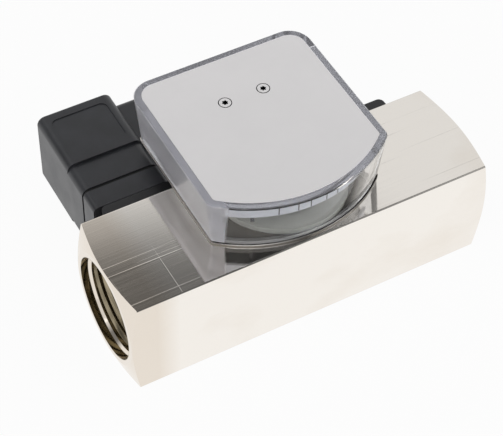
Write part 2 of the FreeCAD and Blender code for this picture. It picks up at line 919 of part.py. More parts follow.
def switch_carriage():
    """Moulded housing with a T foot in the rail and a clamping lip under it."""
    housing = square_bar(carriage_x, flow_z, carriage_width, carriage_width, carriage_y, carriage_face)
    housing = rounded(housing, Vector(0, 1, 0), carriage_corner)
    foot_x = (carriage_x - foot_length / 2, carriage_x + foot_length / 2)
    neck_half = slot_mouth / 2 - slide_clearance
    head_half = slot_width / 2 - slide_clearance
    neck = block(
        (foot_x[0], slot_floor_y + slide_clearance, flow_z - neck_half),
        (foot_x[1], board_y, flow_z + neck_half),
    )
    head = block(
        (foot_x[0], slot_floor_y + slide_clearance, flow_z - head_half),
        (foot_x[1], rail_y - slot_lip - slide_clearance, flow_z + head_half),
    )
    lip = block(
        (carriage_x - lip_width / 2, rail_y - lip_reach, lip_top - lip_thickness),
        (carriage_x + lip_width / 2, carriage_face, lip_top),
    )
    web = block(
        (carriage_x - lip_width / 2, carriage_y, lip_top),
        (carriage_x + lip_width / 2, carriage_face, rail_bottom + carriage_wall),
    )
    carriage = fused([housing, neck, head, lip, web])
    inner = carriage_width - 2 * carriage_wall
    carriage = carriage.cut(square_bar(carriage_x, flow_z, inner, inner, board_y, carriage_face))
    hole = clamp_screw_radius + running_clearance
    return carriage.cut(upright(hole, carriage_x, clamp_y, lip_top - lip_thickness, lip_top))


def clamp_screw():
    head_top_z = lip_top - lip_thickness - clamp_head_gap
    head = upright(clamp_head_radius, carriage_x, clamp_y, head_top_z - clamp_head_height, head_top_z)
    shank = upright(clamp_screw_radius, carriage_x, clamp_y, head_top_z, rail_bottom - clamp_tip_gap)
    screw = fused([head, shank])
    centre = Vector(carriage_x, clamp_y, head_top_z - clamp_head_height)
    return slotted(screw, centre, Vector(0, 0, 1), clamp_head_radius, screw_slot_width, screw_slot_depth)


def reed_board():
    return square_bar(carriage_x, flow_z, board_width, board_height, board_y, board_y + board_thickness)


def reed_switch():
    half = reed_length / 2
    glass = rod_x(reed_radius, reed_y, flow_z, carriage_x - half, carriage_x + half)
    reach = half + reed_lead_length
    leads = rod_x(reed_lead_radius, reed_y, flow_z, carriage_x - reach, carriage_x + reach)
    return fused([glass, leads])


def pin_slots(start, end, extra):
    """The four flat contacts, or their slots grown by extra."""
    slots = []
    for number in range(4):
        low = (
            carriage_x + pin_circle_radius - pin_thickness / 2 - extra,
            start,
            flow_z - pin_width / 2 - extra,
        )
        high = (
            carriage_x + pin_circle_radius + pin_thickness / 2 + extra,
            end,
            flow_z + pin_width / 2 + extra,
        )
        slot = block(low, high)
        slot.rotate(Vector(carriage_x, start, flow_z), Vector(0, 1, 0), 90 * number)
        slots.append(slot)
    return slots


def contact_block():
    start = carriage_face - contact_plate
    size = carriage_width - 2 * carriage_wall
    plate = square_bar(carriage_x, flow_z, size, size, start, carriage_face)
    for slot in pin_slots(start, carriage_face, thread_clearance):
        plate = plate.cut(slot)
    hole = plug_screw_radius + running_clearance
    return plate.cut(rod_y(hole, carriage_x, flow_z, start, carriage_face))


def contact_pins():
    return pin_slots(carriage_face - contact_plate, carriage_face + pin_length, 0)


# Angular plug


def plug_gasket():
    size = carriage_width - 2 * plug_gasket_inset
    gasket = square_bar(carriage_x, flow_z, size, size, plug_y - plug_gasket_thickness, plug_y)
    gasket = rounded(gasket, Vector(0, 1, 0), carriage_corner)
    for slot in pin_slots(plug_y - plug_gasket_thickness, plug_y, pin_clearance):
        gasket = gasket.cut(slot)
    hole = plug_screw_radius + plug_screw_clearance
    return gasket.cut(rod_y(hole, carriage_x, flow_z, plug_y - plug_gasket_thickness, plug_y))


def plug_housing():
    """Moulded hood: a neck, a slightly larger box and a side boss for the gland."""
    neck = square_bar(carriage_x, flow_z, plug_neck_width, plug_neck_width, plug_y, plug_step_y)
    neck = rounded(neck, Vector(0, 1, 0), plug_corner)
    box = square_bar(carriage_x, flow_z, plug_box_width, plug_box_height, plug_step_y, plug_end)
    box = rounded(box, Vector(0, 1, 0), plug_corner)
    rim = [edge for edge in box.Edges if edge.BoundBox.YMin > plug_end - 0.001]
    box = box.makeFillet(plug_end_round, rim)
    half = gland_boss_size / 2
    boss = block(
        (carriage_x, gland_y - half, flow_z - half),
        (gland_neck_x, gland_y + half, flow_z + half),
    )
    boss = rounded(boss, Vector(1, 0, 0), gland_boss_corner)
    collar = rod_x(gland_neck_radius, gland_y, flow_z, plug_side, gland_neck_end)
    hood = fused([neck, box, boss, collar])
    inner = plug_neck_width - 2 * plug_wall
    hood = hood.cut(square_bar(carriage_x, flow_z, inner, inner, plug_y, plug_end - plug_end_wall))
    hood = hood.cut(rod_x(gland_way_radius, gland_y, flow_z, carriage_x, gland_neck_end))
    hood = hood.cut(rod_x(gland_bore_radius, gland_y, flow_z, seal_end - seal_length, gland_neck_end))
    hood = hood.cut(label_panel())
    shank = plug_screw_radius + plug_screw_clearance
    hood = hood.cut(rod_y(shank, carriage_x, flow_z, screw_head_y, plug_end))
    head = plug_screw_head_radius + plug_screw_clearance
    pocket = ring_boss()
    hood = fused([hood, pocket])
    return hood.cut(rod_y(head, carriage_x, flow_z, screw_head_y, plug_end)).cut(
        rod_y(shank, carriage_x, flow_z, terminal_end, plug_end)
    )


def ring_boss():
    """Inner boss that the head of the plug screw seats on."""
    outer = plug_screw_head_radius + plug_wall
    start = screw_head_y - plug_wall
    return rod_y(outer, carriage_x, flow_z, start, plug_end - plug_end_wall)


def label_panel():
    """Bare, slightly sunk panel on the top face of the plug's box."""
    half = plug_box_width / 2 - panel_inset
    top = flow_z + plug_box_height / 2
    end = plug_end - panel_inset
    panel = block(
        (carriage_x - half, end - panel_length, top - panel_depth),
        (carriage_x + half, end, top),
    )
    return rounded(panel, Vector(0, 0, 1), gland_boss_corner)


def terminal_block():
    body = square_bar(carriage_x, flow_z, terminal_size, terminal_size, terminal_y, terminal_end)
    depth = carriage_face + pin_length + pin_clearance
    for slot in pin_slots(terminal_y, depth, pin_clearance):
        body = body.cut(slot)
    for x, z in terminal_screw_places():
        hole = terminal_screw_radius + thread_clearance
        body = body.cut(rod_y(hole, x, z, terminal_end - terminal_screw_length, terminal_end))
    hole = plug_screw_radius + plug_screw_clearance
    return body.cut(rod_y(hole, carriage_x, flow_z, terminal_y, terminal_end))


def terminal_screw_places():
    reach = pin_circle_radius - terminal_head_radius
    places = []
    for number in range(4):
        angle = math.radians(90 * number + 45)
        places.append((carriage_x + reach * math.cos(angle), flow_z + reach * math.sin(angle)))
    return places


def terminal_screws():
    screws = []
    for x, z in terminal_screw_places():
        end = terminal_end + terminal_head_height
        head = rod_y(terminal_head_radius, x, z, terminal_end, end)
        shank = rod_y(terminal_screw_radius, x, z, terminal_end - terminal_screw_length, terminal_end)
        screw = fused([head, shank])
        centre = Vector(x, end, z)
        screws.append(slotted(
            screw, centre, Vector(0, 1, 0), terminal_head_radius, screw_slot_width, screw_slot_width,
        ))
    return screws


def plug_screw():
    tip = carriage_face - contact_plate
    head_end = screw_head_y + plug_screw_head_height
    head = rod_y(plug_screw_head_radius, carriage_x, flow_z, screw_head_y + plug_seat_gap, head_end)
    shank = rod_y(plug_screw_radius, carriage_x, flow_z, tip, head_end)
    screw = fused([head, shank])
    centre = Vector(carriage_x, head_end, flow_z)
    axis = Vector(0, 1, 0)
    return slotted(screw, centre, axis, plug_screw_head_radius, screw_slot_width, screw_slot_depth)


def gland_nut():
    start = gland_neck_x + gland_nut_gap
    end = washer_end + gland_nut_gap + gland_nut_wall
    nut = hexagon(gland_nut_across_flats, Vector(start, gland_y, flow_z), Vector(1, 0, 0), end - start)
    limit = gland_nut_across_flats / 2 * 1.08
    nut = nut.common(rod_x(limit, gland_y, flow_z, start, end))
    inner = gland_neck_radius + gland_nut_clearance
    nut = nut.cut(rod_x(inner, gland_y, flow_z, start, end - gland_nut_wall))
    return nut.cut(rod_x(gland_hole_radius, gland_y, flow_z, start, end))


def gland_washer():
    outer = gland_bore_radius - gland_fit
    whole = rod_x(outer, gland_y, flow_z, seal_end, washer_end)
    return whole.cut(rod_x(gland_hole_radius, gland_y, flow_z, seal_end, washer_end))


def gland_seal():
    outer = gland_bore_radius - gland_fit
    start = seal_end - seal_length
    whole = rod_x(outer, gland_y, flow_z, start, seal_end)
    return whole.cut(rod_x(seal_bore_radius, gland_y, flow_z, start, seal_end))


save("meter_body", meter_body())
save("inlet_spider", spider(insert_x, insert_x))
save("outlet_spider", spider(sleeve_end, outlet_hub_face))
save("measuring_sleeve", measuring_sleeve())
save("sleeve_seal", sleeve_seal())
save("retaining_ring", retaining_ring())
save("guide_rod", guide_rod())
save("rod_nuts", rod_nuts())
save("float", float_body())
save("float_bushes", float_bushes())
save("float_magnet", ring(magnet_x, clip_x, float_hub_radius, ring_magnet_radius))
save("magnet_clip", ring(clip_x, tail_x, float_tail_radius, magnet_clip_radius))
save("return_spring", return_spring())
save("head_base_plate", head_base_plate())
save("head_gasket", head_gasket())
save("clear_cover", clear_cover())
save("top_plate", top_plate())
save("top_plate_screws", top_plate_screws())
save("base_plate_screws", base_plate_screws())
save("bridge_screws", bridge_screws())
save("bearing_bridge", bearing_bridge())
save("shaft_bushes", shaft_bushes())
save("dial_disc", dial_disc())
save("scale_band", scale_band())
save("pointer_shaft", pointer_shaft())
save("shaft_clip", shaft_clip())
save("magnet_arm", magnet_arm())
save("follower_magnet", follower_magnet())
save("counterweight", counterweight())
save("pointer", pointer())
save("switch_rail", switch_rail())
save("rail_screws", rail_screws())
save("switch_carriage", switch_carriage())
save("clamp_screw", clamp_screw())
save("reed_board", reed_board())
save("reed_switch", reed_switch())
save("contact_block", contact_block())
save("contact_pins", contact_pins())
save("plug_gasket", plug_gasket())
save("plug_housing", plug_housing())
save("terminal_block", terminal_block())
save("terminal_screws", terminal_screws())
save("plug_screw", plug_screw())
save("gland_nut", gland_nut())
save("gland_washer", gland_washer())
save("gland_seal", gland_seal())
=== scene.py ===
"""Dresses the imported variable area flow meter.

Adds the finishes, the port threads, the return spring's wire, the scale marks and a small studio.
"""

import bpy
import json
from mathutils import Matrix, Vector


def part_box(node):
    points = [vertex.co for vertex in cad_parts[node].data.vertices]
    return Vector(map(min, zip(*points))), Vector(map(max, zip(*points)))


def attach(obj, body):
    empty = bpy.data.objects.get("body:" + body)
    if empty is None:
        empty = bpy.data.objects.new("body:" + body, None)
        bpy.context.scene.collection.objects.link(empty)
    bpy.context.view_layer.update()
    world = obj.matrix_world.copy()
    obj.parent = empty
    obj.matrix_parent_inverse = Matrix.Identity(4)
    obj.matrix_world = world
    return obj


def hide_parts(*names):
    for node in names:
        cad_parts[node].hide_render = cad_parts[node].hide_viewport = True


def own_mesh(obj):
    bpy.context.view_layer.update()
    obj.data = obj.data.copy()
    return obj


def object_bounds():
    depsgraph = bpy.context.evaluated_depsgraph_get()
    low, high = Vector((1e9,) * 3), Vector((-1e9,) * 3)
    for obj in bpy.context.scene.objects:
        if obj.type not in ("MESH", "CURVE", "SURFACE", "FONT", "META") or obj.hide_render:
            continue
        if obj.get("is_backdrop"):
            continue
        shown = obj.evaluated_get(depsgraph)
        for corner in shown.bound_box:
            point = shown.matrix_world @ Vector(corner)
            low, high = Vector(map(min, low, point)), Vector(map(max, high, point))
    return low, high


bl_info = {
    "name": "Variable Area Flow Meter",
    "version": (1, 0, 0),
    "blender": (4, 5, 0),
    "location": "View3D > Sidebar > Flow Meter",
    "description": "Finishes, port threads, spring, scale marks and studio for the packed flow meter",
    "category": "Object",
}

import json
import math

import bmesh
import bpy
from bpy.props import FloatProperty, FloatVectorProperty, IntProperty, PointerProperty
from mathutils import Vector

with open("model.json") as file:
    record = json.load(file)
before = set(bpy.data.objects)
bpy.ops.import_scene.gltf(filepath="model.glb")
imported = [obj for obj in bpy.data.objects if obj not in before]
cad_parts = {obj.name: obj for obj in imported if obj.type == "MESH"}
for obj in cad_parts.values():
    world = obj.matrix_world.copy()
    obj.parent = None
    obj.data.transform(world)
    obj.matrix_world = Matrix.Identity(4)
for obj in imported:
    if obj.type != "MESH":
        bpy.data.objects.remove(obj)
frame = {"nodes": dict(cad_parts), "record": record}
CAD_BOUNDS = [list(corner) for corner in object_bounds()]
NODES = frame["nodes"]
ORIGIN = (0.0, 0.0, 0.0)
FULL_TURN = 2.0 * math.pi

# Where tones change, in metres from a face towards lower coordinates (minus: towards higher ones).
# Each pair says where the change starts and where it is complete.
# Warm band over the inlet end of the bar: a painted reflection
INLET_REFLECTION_BAND = (-0.017, -0.009)
# ENTRY_STEP, THREAD_START and BORE_WALL bound the painted shade inside the port bores
ENTRY_STEP = (0.0026, 0.0024)
THREAD_START = (0.0033, 0.0035)
BORE_WALL = (-0.0011, -0.0010)
# Band of painted shade along the bar's long edges
BAR_EDGE_SHADE = (0.0004, 0.0002)
# Painted shade below the top face of the top plate and of its screws
SHADE_BELOW_TOP = (0.0002, 0.0004)
# Painted shade on the side edge of the plate under the cover
PLATE_SIDE = (0.00001, 0.00004)
# PLATE_FACE, PLATE_LEFT and PLATE_FRONT bound the painted shade on the plate's face under the cover
PLATE_FACE = (0.00006, 0.00002)
PLATE_LEFT = (-0.0005, -0.0008)
PLATE_FRONT = (0.0003, 0.0005)
# GASKET_FACE and GASKET_ENDS bound the gasket's painted light
GASKET_FACE = (0.00004, 0.00001)
GASKET_ENDS = (0.0010, 0.0005)
# COVER_WALL bounds the left wall's painted light haze and painted reflection tint
COVER_WALL = (-0.0054, -0.0049)
COVER_RIM = (0.0004, 0.0001)
COVER_FOOT = (-0.0018, -0.0016)

HEAD_ARC = 0.0476  # radius of the head's front

# Depths of fine relief, in metres
HAIRLINE = 0.00001
SCRATCH = 0.00002
COARSE = 0.00003

# Fixed tones of details
PLATE_SHADE = (0.022, 0.020, 0.017)
# Painted light on the gasket: a pale upper face and grey ends
PAINTED_LIGHT_PALE = (0.82, 0.83, 0.85)
PAINTED_LIGHT_GREY = (0.45, 0.46, 0.47)
# Painted reflections of the bluish surroundings on the cover's left wall and upper rim
WALL_REFLECTION_TINT = (0.95, 0.945, 1.0)
RIM_REFLECTION_TINT = (0.60, 0.60, 0.66)
REED_GREEN = (0.72, 0.86, 0.74)

# Thread ridge: place along the pitch and share of the height; turns over which its ends fade; gap to the wall
THREAD_PROFILE = (
    (0.0, 0.0), (0.1, 0.0), (0.4, 0.93), (0.46, 1.0), (0.54, 1.0), (0.6, 0.93), (0.9, 0.0), (1.0, 0.0),
)
THREAD_FADE = 0.6
THREAD_GAP = 0.00002
WIRE_SIDES = 12

# Scale marks: angles from the front in degrees, distance below the band's top, and a mark's faces by its corners
MARK_ANGLES = (-15.0, -6.6, -1.0, 6.5, 12.3)
MARK_DROP = 0.0003
MARK_FACES = ((0, 1, 3, 2), (4, 6, 7, 5), (0, 4, 5, 1), (2, 3, 7, 6), (0, 2, 6, 4), (1, 5, 7, 3))

# Dark flags of the studio: azimuth from +X, elevation, inner and outer radius in degrees, and light left
STUDIO_FLAGS = (
    (62.0, 66.5, 15.5, 18.4, 0.17),
    (-35.0, 66.0, 16.0, 22.0, 0.15),
    (-66.0, 34.0, 14.0, 20.0, 0.40),
    (142.0, 24.0, 14.0, 26.0, 0.28),
)
# Lamps: place and side, in metres
KEY_LAMP = ((-0.9, -0.35, 1.1), 1.8)
FILL_LAMP = ((0.9, -0.7, 0.9), 0.8)
FLOOR_GAP = 0.00005
FLOOR_WHITE = 0.94
SENSOR_WIDTH = 36.0
CLIP_START = 0.01


def colour_property(name, description, default):
    """A colour that a user can change."""
    return FloatVectorProperty(
        name=name, description=description, default=default, subtype="COLOR", size=3, min=0.0, max=1.0,
    )


def length_property(name, description, default):
    """A length that a user can change, in metres."""
    return FloatProperty(name=name, description=description, default=default, unit="LENGTH", min=0.0)


class FlowMeterColours(bpy.types.PropertyGroup):
    nickel: colour_property("Nickel", "Plated bar of the body", (0.91, 0.87, 0.815))
    # Also the tone of the painted reflection at the bar's inlet end
    nickel_warm: colour_property("Warm nickel", "Warmer patches in the plating", (0.79, 0.715, 0.626))
    top_plate: colour_property("Top plate", "Satin plate on the head", (0.99, 0.975, 0.98))
    steel: colour_property("Steel", "Screws, nuts, rod, rings and spring", (0.60, 0.60, 0.60))
    brass: colour_property("Brass", "Bearing bushes and counterweight", (0.72, 0.52, 0.22))
    magnet: colour_property("Magnet", "Sintered magnets", (0.07, 0.07, 0.075))
    cover: colour_property("Cover", "Tint of the clear cover", (0.985, 0.99, 1.0))
    moulding: colour_property("Black moulding", "Plug, carriage and gland", (0.021, 0.022, 0.026))
    rail: colour_property("Rail", "Black anodised rail", (0.012, 0.012, 0.014))
    rubber: colour_property("Rubber", "Seals and gaskets", (0.010, 0.010, 0.010))
    scale: colour_property("Scale band", "White band behind the window", (0.66, 0.67, 0.72))
    # Also the colour of the painted shade below the faces of the top plate and its screws
    mark: colour_property("Marks", "Scale marks and pointer", (0.012, 0.012, 0.014))
    dish: colour_property("Dish", "Pale dish below the scale", (0.50, 0.51, 0.46))
    # Colour of the painted shade in the port bores and on the thread
    bore: colour_property("Bore", "Walls and thread inside the ports", (0.34, 0.29, 0.20))
    inner_moulding: colour_property(
        "Inner moulding", "Grey bridge, arm and terminal block", (0.22, 0.23, 0.24),
    )
    bush: colour_property("Float bushes", "Cream bearing plastic", (0.78, 0.74, 0.62))
    board: colour_property("Circuit board", "Lacquered board", (0.02, 0.13, 0.05))
    floor: colour_property("Floor", "Plain pale floor", (0.92, 0.92, 0.92))


class FlowMeterSizes(bpy.types.PropertyGroup):
    thread_pitch: length_property("Thread pitch", "Pitch of the pipe thread", 0.002309)
    thread_depth: length_property("Thread depth", "Height of the thread's ridge", 0.00147)
    thread_length: length_property("Thread length", "Length of the threaded bore", 0.018)
    spring_wire: length_property("Spring wire", "Diameter of the return spring's wire", 0.001)
    spring_turns: IntProperty(name="Spring turns", description="Turns of the return spring", default=6, min=2)
    turn_steps: IntProperty(
        name="Turn steps", description="Steps in one turn of the thread or the spring", default=72, min=12,
    )
    mark_width: length_property("Mark width", "Width of one scale mark", 0.00038)
    mark_height: length_property("Mark height", "Height of one scale mark", 0.0050)
    mark_proud: length_property("Mark thickness", "How far the ink stands on the band", 0.00003)
    band_half_angle: FloatProperty(
        name="Band half angle", description="Half the angle of the scale band",
        default=math.radians(37.0), subtype="ANGLE",
    )


class FlowMeterStudio(bpy.types.PropertyGroup):
    lens: FloatProperty(name="Lens", description="Focal length for a 36 mm sensor, in mm", default=119.717)
    camera_place: FloatVectorProperty(
        name="Camera", description="Camera's place", default=(-0.188936, -0.300937, 0.444080), unit="LENGTH",
    )
    camera_turn: FloatVectorProperty(
        name="Camera turn", description="Camera's rotation", subtype="EULER",
        default=(math.radians(40.4529), math.radians(-1.2186), math.radians(-28.8981)),
    )
    floor_size: length_property("Floor size", "Side of the floor", 6.0)
    key_power: FloatProperty(name="Key power", description="Power of the large soft lamp, in W", default=5.0)
    fill_power: FloatProperty(name="Fill power", description="Power of the fill lamp, in W", default=2.0)
    sky_light: FloatProperty(name="Sky light", description="Level of the soft all-round light", default=0.62)


def combined(tree, operation, first, second):
    """One value from two sockets of a node tree, by a named operation."""
    node = tree.nodes.new("ShaderNodeMath")
    node.operation = operation
    tree.links.new(first, node.inputs[0])
    tree.links.new(second, node.inputs[1])
    return node.outputs[0]


def in_from(face, depths):
    """Places at two depths from a face."""
    return tuple(face - depth for depth in depths)


def shade_of(colour, factor):
    """The same colour, darker or lighter."""
    return tuple(min(1.0, channel * factor) for channel in colour)


class Finish:
    """One procedural material: its shader, and patterns laid in the part's own coordinates."""

    def __init__(self, name, colour, roughness, metallic=0.0, **sockets):
        self.material = bpy.data.materials.new(name)
        self.material.use_nodes = True
        self.tree = self.material.node_tree
        self.nodes = self.tree.nodes
        self.links = self.tree.links
        self.shader = self.nodes["Principled BSDF"]
        self.colour = (*colour, 1.0)
        self.shader.inputs["Base Color"].default_value = self.colour
        self.shader.inputs["Roughness"].default_value = roughness
        self.shader.inputs["Metallic"].default_value = metallic
        for socket, value in sockets.items():
            self.shader.inputs[socket.replace("_", " ")].default_value = value
        self.place = self.nodes.new("ShaderNodeTexCoord").outputs["Object"]
        self.bump = None
        self.tone = None

    def grain(self, stretch, detail=3.0):
        """Noise with so many grains per metre along X, Y and Z."""
        mapping = self.nodes.new("ShaderNodeMapping")
        mapping.inputs["Scale"].default_value = stretch
        noise = self.nodes.new("ShaderNodeTexNoise")
        noise.inputs["Scale"].default_value = 1.0
        noise.inputs["Detail"].default_value = detail
        noise.inputs["Distortion"].default_value = 0.0
        self.links.new(self.place, mapping.inputs["Vector"])
        self.links.new(mapping.outputs["Vector"], noise.inputs["Vector"])
        return noise.outputs["Fac"]

    def speckle(self, fineness, detail=3.0):
        """Noise with so many grains per metre in every direction."""
        return self.grain((fineness, fineness, fineness), detail)

    def position(self, axis):
        """Where a point lies along one axis of the frame, in metres."""
        parts = self.nodes.new("ShaderNodeSeparateXYZ")
        self.links.new(self.place, parts.inputs[0])
        return parts.outputs[axis]

    def combine(self, operation, first, second):
        """One pattern from two, by a named operation."""
        return combined(self.tree, operation, first, second)

    def off_axis(self, centre, keep):
        """Distance from a centre, counting only the kept directions."""
        mapping = self.nodes.new("ShaderNodeMapping")
        mapping.vector_type = "TEXTURE"
        mapping.inputs["Location"].default_value = centre
        self.links.new(self.place, mapping.inputs["Vector"])
        flat = self.nodes.new("ShaderNodeVectorMath")
        flat.operation = "MULTIPLY"
        flat.inputs[1].default_value = keep
        self.links.new(mapping.outputs["Vector"], flat.inputs[0])
        length = self.nodes.new("ShaderNodeVectorMath")
        length.operation = "LENGTH"
        self.links.new(flat.outputs["Vector"], length.inputs[0])
        return length.outputs["Value"]

    def spread(self, source, low, high, to_low=0.0, to_high=1.0):
        """Stretch the part of a pattern between low and high over a new range."""
        node = self.nodes.new("ShaderNodeMapRange")
        for socket, value in zip(("From Min", "From Max", "To Min", "To Max"), (low, high, to_low, to_high)):
            node.inputs[socket].default_value = value
        self.links.new(source, node.inputs["Value"])
        return node.outputs["Result"]

    def scaled(self, mask, at_none, at_full):
        """Values that a mask takes where it is 0 and where it is 1."""
        return self.spread(mask, 0.0, 1.0, at_none, at_full)

    def zone(self, axis, face, depths, level=1.0):
        """Mask that rises from 0 to a level between two depths from a face."""
        return self.spread(self.position(axis), *in_from(face, depths), 0.0, level)

    def tint(self, source, other):
        """Blend the colour towards another one where the pattern is high."""
        node = self.nodes.new("ShaderNodeMix")
        node.data_type = "RGBA"
        node.inputs[6].default_value = self.colour
        node.inputs[7].default_value = (*other, 1.0)
        if self.tone:
            self.links.new(self.tone, node.inputs[6])
        self.links.new(source, node.inputs["Factor"])
        self.tone = node.outputs[2]
        self.links.new(self.tone, self.shader.inputs["Base Color"])

    def polish(self, source, low, high):
        """Let the pattern set the roughness between two values."""
        self.links.new(self.spread(source, 0.25, 0.75, low, high), self.shader.inputs["Roughness"])

    def relief(self, source, strength, distance):
        """Add fine relief, on top of any laid before."""
        node = self.nodes.new("ShaderNodeBump")
        node.inputs["Strength"].default_value = strength
        node.inputs["Distance"].default_value = distance
        self.links.new(source, node.inputs["Height"])
        if self.bump:
            self.links.new(self.bump, node.inputs["Normal"])
        self.bump = node.outputs["Normal"]
        self.links.new(self.bump, self.shader.inputs["Normal"])


def milled_nickel(colours, axis_z, bore_radius):
    """Plated bar, milled along its length: scratches, warm patches, a warm painted reflection at the inlet end,
    painted shade along the long edges and olive-brown painted shade in the bores.
    """
    finish = Finish("milled_nickel", colours.nickel, roughness=0.07, metallic=1.0)
    patches = finish.grain((28.0, 45.0, 45.0), 4.0)
    streaks = finish.grain((22.0, 1900.0, 1900.0), 5.0)
    end = CAD_BOUNDS[1][0]
    half_width = axis_z
    flow_axis = (0.0, 0.0, axis_z)
    finish.tint(finish.spread(patches, 0.5, 0.74, 0.0, 0.4), colours.nickel_warm)
    # Painted reflection: the inlet end of the bar is tinted warm
    finish.tint(finish.zone("X", -end, INLET_REFLECTION_BAND, 0.9), colours.nickel_warm)
    # Painted shade: olive-brown over the walls inside the ports, all but the entry chamfer
    along = finish.off_axis(ORIGIN, (1.0, 0.0, 0.0))
    recess = finish.spread(along, *in_from(end, ENTRY_STEP))
    thread = finish.spread(along, *in_from(end, THREAD_START))
    from_axis = finish.off_axis(flow_axis, (0.0, 1.0, 1.0))
    inside = finish.spread(from_axis, *in_from(bore_radius, BORE_WALL))
    bores = finish.combine("MULTIPLY", inside, finish.combine("MAXIMUM", recess, thread))
    finish.tint(bores, colours.bore)
    # Painted shade: dark lines along the long edges of the bar
    beside = finish.spread(finish.off_axis(ORIGIN, (0.0, 1.0, 0.0)), *in_from(half_width, BAR_EDGE_SHADE))
    above = finish.spread(finish.off_axis(flow_axis, (0.0, 0.0, 1.0)), *in_from(half_width, BAR_EDGE_SHADE))
    finish.tint(finish.combine("MULTIPLY", beside, above), shade_of(colours.nickel, 0.3))
    finish.polish(streaks, 0.04, 0.11)
    outside = finish.scaled(inside, 1.0, 0.0)
    finish.relief(finish.combine("MULTIPLY", streaks, outside), 0.085, SCRATCH)
    scratches = finish.grain((9.0, 900.0, 900.0), 2.0)
    finish.relief(finish.spread(scratches, 0.66, 0.72), 0.4, SCRATCH)
    crossing = finish.grain((900.0, 24.0, 60.0), 2.0)
    finish.relief(finish.spread(crossing, 0.71, 0.77), 0.35, SCRATCH)
    return finish.material


def turned_nickel(colours):
    """Nickel-plated turned pieces inside the bore."""
    finish = Finish("turned_nickel", shade_of(colours.nickel, 0.86), roughness=0.2, metallic=1.0)
    rings = finish.grain((2600.0, 30.0, 30.0))
    finish.polish(rings, 0.16, 0.30)
    finish.relief(rings, 0.12, SCRATCH)
    return finish.material


def thread_nickel(colours):
    """Plated thread, given the bores' dark colour as painted shade of the deep bore, with darker bands of noise.
    """
    # Painted shade: the thread takes the bores' dark colour
    finish = Finish("thread_nickel", shade_of(colours.bore, 1.1), roughness=0.2, metallic=1.0)
    rings = finish.grain((300.0, 90.0, 90.0))
    finish.tint(finish.spread(rings, 0.35, 0.7), shade_of(colours.bore, 0.5))
    finish.polish(rings, 0.16, 0.28)
    finish.relief(rings, 0.05, COARSE)
    return finish.material


def satin_plate(colours):
    """Fine satin sheet with a soft cloudy tone, and painted shade below its top face: in its screw holes, on its
    sides and underneath.
    """
    finish = Finish("satin_plate", colours.top_plate, roughness=0.5, metallic=1.0)
    clouds = finish.speckle(70.0)
    fine = finish.speckle(5200.0, 2.0)
    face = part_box("top_plate")[1].z
    finish.tint(finish.spread(clouds, 0.35, 0.7, 0.0, 0.5), shade_of(colours.top_plate, 0.93))
    # Painted shade: all below the top face, screw holes, sides and underside, turns the marks' black
    finish.tint(finish.zone("Z", face, SHADE_BELOW_TOP), colours.mark)
    finish.polish(clouds, 0.47, 0.53)
    finish.relief(fine, 0.10, HAIRLINE)
    return finish.material


def bright_sheet(colours):
    """Sheet metal under the clear cover: a bright strip round it, painted shade on its side edge and over its
    face under the cover.
    """
    finish = Finish("bright_sheet", colours.nickel, roughness=0.16, metallic=1.0)
    clouds = finish.speckle(140.0)
    low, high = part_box("head_base_plate")
    # Painted shade: the side edge below the plate's top face is dark
    finish.tint(finish.zone("Z", high.z, PLATE_SIDE), shade_of(colours.nickel, 0.17))
    # Painted shade over the plate's face under the cover
    beside = finish.zone("X", low.x, PLATE_LEFT)
    from_arc = finish.off_axis((0.0, low.y + HEAD_ARC, 0.0), (1.0, 1.0, 0.0))
    behind = finish.spread(from_arc, *in_from(HEAD_ARC, PLATE_FRONT))
    covered = finish.combine("MULTIPLY", beside, behind)
    upper = finish.zone("Z", high.z, PLATE_FACE)
    finish.tint(finish.combine("MULTIPLY", upper, covered), PLATE_SHADE)
    finish.polish(clouds, 0.12, 0.22)
    finish.relief(finish.speckle(900.0, 2.0), 0.05, HAIRLINE)
    return finish.material


def screw_steel(colours):
    """Bright countersunk head with painted shade in its drive recess."""
    finish = Finish("screw_steel", colours.top_plate, roughness=0.3, metallic=1.0)
    marks = finish.speckle(1500.0)
    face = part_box("top_plate_screws")[1].z
    # Painted shade: the drive recess below the head's top turns the marks' black
    finish.tint(finish.zone("Z", face, SHADE_BELOW_TOP), colours.mark)
    finish.polish(marks, 0.24, 0.38)
    finish.relief(marks, 0.08, HAIRLINE)
    return finish.material


def gasket_rubber(colours):
    """Black rubber strip, its upper face painted pale under the clear cover as painted light running down the
    clear wall, and grey at its ends.
    """
    finish = Finish("gasket_rubber", colours.rubber, roughness=0.5)
    grit = finish.speckle(1800.0)
    low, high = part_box("head_gasket")
    # Painted light: the upper face is pale, standing in for light that runs down the clear wall
    finish.tint(finish.zone("Z", high.z, GASKET_FACE), PAINTED_LIGHT_PALE)
    beside = finish.off_axis((low + high) / 2.0, (1.0, 0.0, 0.0))
    reach = (high.x - low.x) / 2.0
    # Painted light: the ends along X are grey instead of black
    finish.tint(finish.spread(beside, *in_from(reach, GASKET_ENDS)), PAINTED_LIGHT_GREY)
    finish.polish(grit, 0.45, 0.6)
    finish.relief(grit, 0.2, SCRATCH)
    return finish.material


def plain_steel(colours):
    """Bright steel of the screws, rod, rings and spring."""
    finish = Finish("plain_steel", colours.steel, roughness=0.28, metallic=1.0)
    marks = finish.speckle(1800.0)
    finish.polish(marks, 0.22, 0.38)
    finish.relief(marks, 0.08, HAIRLINE)
    return finish.material


def turned_brass(colours):
    """Brass with fine turning marks."""
    finish = Finish("turned_brass", colours.brass, roughness=0.26, metallic=1.0)
    marks = finish.grain((400.0, 400.0, 2600.0))
    finish.polish(marks, 0.20, 0.36)
    finish.relief(marks, 0.08, HAIRLINE)
    return finish.material


